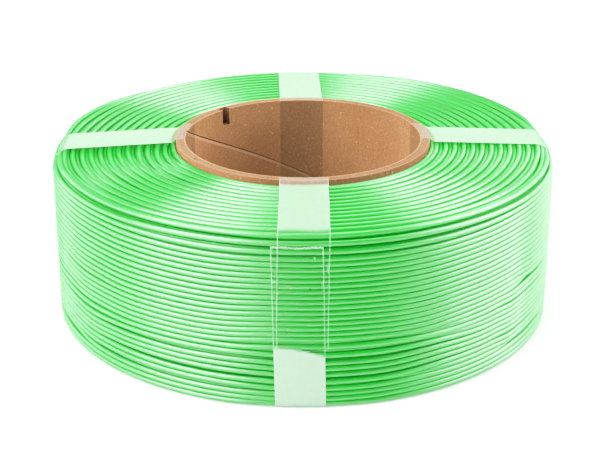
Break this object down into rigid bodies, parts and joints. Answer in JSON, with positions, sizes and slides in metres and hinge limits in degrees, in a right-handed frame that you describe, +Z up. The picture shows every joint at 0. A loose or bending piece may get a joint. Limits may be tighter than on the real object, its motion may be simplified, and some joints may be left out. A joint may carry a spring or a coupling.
{
  "type": "filament refill coil",
  "caption": "Refill coil of silky green 3D-printing filament without a spool, wound on a cardboard core and bound by clear film straps.",
  "frame": {"origin": "the point on the core's axis in the plane that the coil lies on", "axes": "+Z up along the core's axis; -Y towards the front strap; +X towards the right strap"},
  "size_m": [0.175, 0.175, 0.0602],
  "materials": {
    "filament": "silky gloss, bright spring green",
    "cardboard": "uncoated kraft paper, matte, with fibre flecks",
    "film": "clear adhesive film, slightly milky where it bridges the turns"
  },
  "bodies": {
    "root": {"filament_winding": "filament", "core_liner": "cardboard", "core_body_ply_1": "cardboard", "core_body_ply_2": "cardboard", "core_body_ply_3": "cardboard", "core_body_ply_4": "cardboard", "core_body_ply_5": "cardboard", "core_outer_wrap": "cardboard", "strap_front": "film", "strap_right": "film", "strap_back": "film", "strap_left": "film"}
  },
  "joints": []
}
